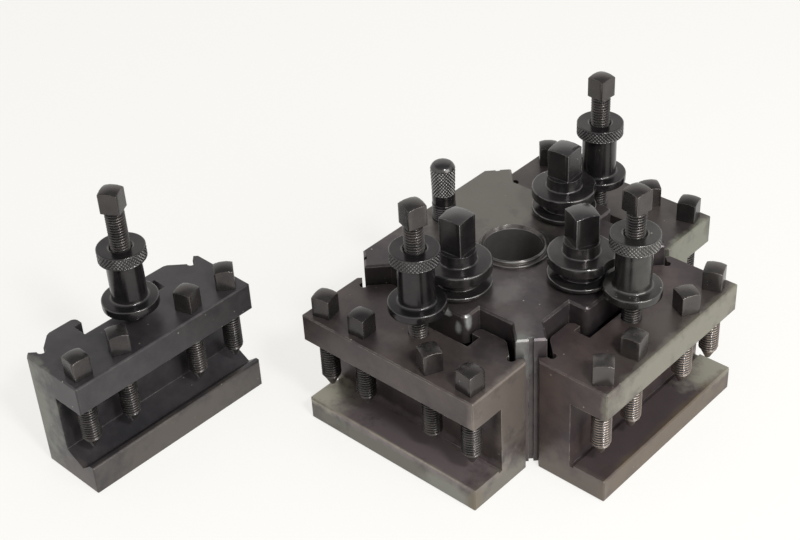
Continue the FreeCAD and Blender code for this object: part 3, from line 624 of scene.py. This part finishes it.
NUT_FLANGE = 14.4
NUT_FLANGE_HEIGHT = 4.6
NUT_NECK = 9.0
NUT_COLLAR = 12.2
NUT_COLLAR_HEIGHT = 6.8
nut_steel = black_material("nut steel", 0.75, 0.000006, crested=True, Black=(0.031, 0.029, 0.031, 1),
                           Brown=(0.055, 0.051, 0.051, 1), Bare=(0.5, 0.5, 0.49, 1), Dullness=0.2,
                           Edge_Wear=0.2, Edge_Radius=0.0003, Specks=0.6)
worn_nut_steel = black_material("worn nut steel", 0.75, 0.000006, crested=True, Black=(0.05, 0.049, 0.048, 1),
                                Brown=(0.09, 0.088, 0.084, 1), Bare=(0.5, 0.5, 0.49, 1), Dullness=0.22,
                                Edge_Wear=0.3, Edge_Radius=0.0003, Specks=0.8)
for holder in FACING:
    node = holder + "_height_nut"
    low, high = (corner[2] for corner in size_of(node))
    flange, collar = low + NUT_FLANGE_HEIGHT, high - NUT_COLLAR_HEIGHT
    # The crests on the flange and collar edges are worn steel with a painted rim highlight.
    line = eased_outline([(SCREW + 0.05, low, 0.2), (NUT_FLANGE, low, 0.5), (NUT_FLANGE, flange, 0.9, 0.07),
                          (NUT_NECK, flange, 1.4, 0.05), (NUT_NECK, collar, 0.2), (NUT_COLLAR, collar, 0.5),
                          (NUT_COLLAR, high, 0.7, 0.08), (SCREW + 1.2, high, 0.5, 0.15),
                          (SCREW + 0.05, high - 1.1, 0.3)])
    line = filled_outline(line, 0.22, collar, high)
    rings, crest = knurled(np.repeat(line[:, :1], 384, 1), line[:, 1], collar + 0.4, high - 0.4, 40, KNURL_PITCH,
                           KNURL_DEPTH)
    gripped = line[:, :1] > NUT_COLLAR - 0.2
    ring_piece(node + "_knurled", np.where(gripped, rings, line[:, :1]), line[:, 1],
               np.maximum(0.14 * crest * gripped, line[:, 2:]), middle_of(holder + "_height_screw"), node,
               worn_nut_steel if holder == "right" else nut_steel, node, looped=True)

# ---------------------------------------------------------------- the clamp screws
# Four M10 screws through each holder's upper jaw hold the tool down. Their 10 mm square heads are turned to a dome,
# and their points to a blunt cone. Hardened and blackened, with the right holder's threads rubbed bright.

TIP = 1.4
THREAD_START = 5.2
CONE_TOP = 5.6
POINT_TOP = 6.4
CLAMP_HEAD_TURNS = {"front": (12, 3, 64, 86), "right": (35, 8, 62, 20), "rear": (15, 50, 28, 40),
                    "spare": (86, 64, 18, 52)}
worn_screw_steel = black_material("worn screw steel", 0.7, 0.000006, crested=True, Black=(0.06, 0.059, 0.06, 1),
                                  Brown=(0.1, 0.095, 0.092, 1), Bare=(0.5, 0.41, 0.35, 1), Dullness=0.3,
                                  Edge_Wear=0.5, Edge_Radius=0.0003, Specks=0.4)
for holder, turns in CLAMP_HEAD_TURNS.items():
    worn = holder == "right"
    for number, turn in enumerate(turns, 1):
        node = "%s_clamp_screw_%d" % (holder, number)
        low, high = size_of(node)
        head_low = high[2] - HEAD_HEIGHT
        outline = [(0, low[2]), (TIP, low[2]), (SCREW - 0.6, low[2] + CONE_TOP), (SCREW, low[2] + POINT_TOP),
                   (SCREW, head_low - 0.3)]
        rings, heights, crest = screw_rings(outline, low[2] + THREAD_START, head_low - 0.3, head_low, high[2],
                                            FACING[holder] + turn, 0.8 if worn else 0.05, 0.05 if worn else 0.02,
                                            0.5 if worn else 0.3)
        ring_piece(node + "_threaded", rings, heights, crest, middle_of(node), node,
                   worn_screw_steel if worn else screw_steel, node)

# ---------------------------------------------------------------- the table, the light and the camera
# A plain pale table, with white walls that darken upward, which the steel shows in its gloss. A large soft lamp is low
# on the right, as a window would be, and a small bright one halfway up, right of the camera, draws the glints on
# turned edges.

TABLE_HALF = 4
TABLE_GLOW = 0.755
WALLS_PALE_TO, WALLS_DARK_FROM = 0.52, 0.82
table = bpy.data.meshes.new("table")
table.from_pydata([(-TABLE_HALF, -TABLE_HALF, 0), (TABLE_HALF, -TABLE_HALF, 0), (TABLE_HALF, TABLE_HALF, 0),
                   (-TABLE_HALF, TABLE_HALF, 0)], [], [(0, 1, 2, 3)])
table_top = bpy.data.objects.new("table", table)
bpy.context.scene.collection.objects.link(table_top)


def seen_directly(tree):
    """1 for the camera's own rays and for those by which gloss shows the background, else 0."""
    rays = place_node(tree, "ShaderNodeLightPath", (-4, 1))
    return sum_node(tree, "MAXIMUM", (-3, 1), rays.outputs["Is Camera Ray"],
                    sum_node(tree, "MAXIMUM", (-4, 2), rays.outputs["Is Glossy Ray"],
                             rays.outputs["Is Transmission Ray"]))


pale = bpy.data.materials.new("pale table")
pale.use_nodes = True
tree = pale.node_tree
tree.nodes.clear()
matt = place_node(tree, "ShaderNodeBsdfDiffuse", (0, 0), in_Color=(0.26, 0.258, 0.253, 1))
glow = place_node(tree, "ShaderNodeEmission", (0, 1), in_Color=(1.0, 0.99, 0.96, 1))
tree.links.new(sum_node(tree, "MULTIPLY", (-1, 1), seen_directly(tree), TABLE_GLOW), glow.inputs["Strength"])
total = place_node(tree, "ShaderNodeAddShader", (1, 0))
surface_out = place_node(tree, "ShaderNodeOutputMaterial", (2, 0))
tree.links.new(matt.outputs[0], total.inputs[0])
tree.links.new(glow.outputs[0], total.inputs[1])
tree.links.new(total.outputs[0], surface_out.inputs["Surface"])
table.materials.append(pale)

world = bpy.data.worlds.new("studio")
bpy.context.scene.world = world
world.use_nodes = True
tree = world.node_tree
tree.nodes.clear()
sky = place_node(tree, "ShaderNodeBackground", (0, 0), in_Strength=1.0)
sky_out = place_node(tree, "ShaderNodeOutputWorld", (1, 0))
upward = place_node(tree, "ShaderNodeSeparateXYZ", (-3, -2))
tree.links.new(place_node(tree, "ShaderNodeTexCoord", (-4, -2)).outputs["Generated"], upward.inputs[0])
darker = ramp_node(tree, (-3, -3), upward.outputs["Z"], WALLS_PALE_TO, WALLS_DARK_FROM)
walls = mix_node(tree, (-2, -2), darker, (1.0, 0.99, 0.96, 1), (0.22, 0.22, 0.23, 1))
tree.links.new(mix_node(tree, (-1, 0), seen_directly(tree), (0.48, 0.47, 0.46, 1), walls), sky.inputs["Color"])
tree.links.new(sky.outputs[0], sky_out.inputs["Surface"])


def soft_lamp(name, place, target, size, power, colour):
    """A square lamp at a place, in metres, that looks at a target."""
    lamp = bpy.data.lights.new(name, "AREA")
    lamp.size = size
    lamp.energy = power
    lamp.color = colour
    stand = bpy.data.objects.new(name, lamp)
    back = np.array(place, float) - np.array(target, float)
    back /= np.linalg.norm(back)
    right = np.cross((0, 0, 1.0), back)
    right /= np.linalg.norm(right)
    turn = np.stack([right, np.cross(back, right), back], 1)
    stand.matrix_world = Matrix.Translation(place) @ Matrix(turn.tolist()).to_4x4()
    bpy.context.scene.collection.objects.link(stand)


soft_lamp("window", (1.3, -0.1, 0.55), (0, 0, 0.05), 0.9, 11.0, (1.0, 0.99, 0.95))
soft_lamp("bright lamp", (0.8, -0.36, 0.97), (0, 0, 0.05), 0.16, 6.5, (1.0, 1.0, 0.99))

camera = bpy.data.cameras.new("camera")
camera.sensor_width = 36.0
camera.lens = 68.04
camera.clip_start = 0.01
camera_stand = bpy.data.objects.new("camera", camera)
bpy.context.scene.collection.objects.link(camera_stand)
azimuth, elevation, roll = (math.radians(v) for v in (44.04, 35.50, -3.42))
back = np.array([math.sin(azimuth) * math.cos(elevation), -math.cos(azimuth) * math.cos(elevation),
                 math.sin(elevation)])
level = np.array([math.cos(azimuth), math.sin(azimuth), 0.0])
upward = np.cross(back, level)
right = level * math.cos(roll) + upward * math.sin(roll)
upward = upward * math.cos(roll) - level * math.sin(roll)
camera_stand.matrix_world = (Matrix.Translation((0.3963, -0.4933, 0.5162))
                             @ Matrix(np.stack([right, upward, back], 1).tolist()).to_4x4())
bpy.context.scene.camera = camera_stand
bpy.context.scene.view_settings.view_transform = "Standard"
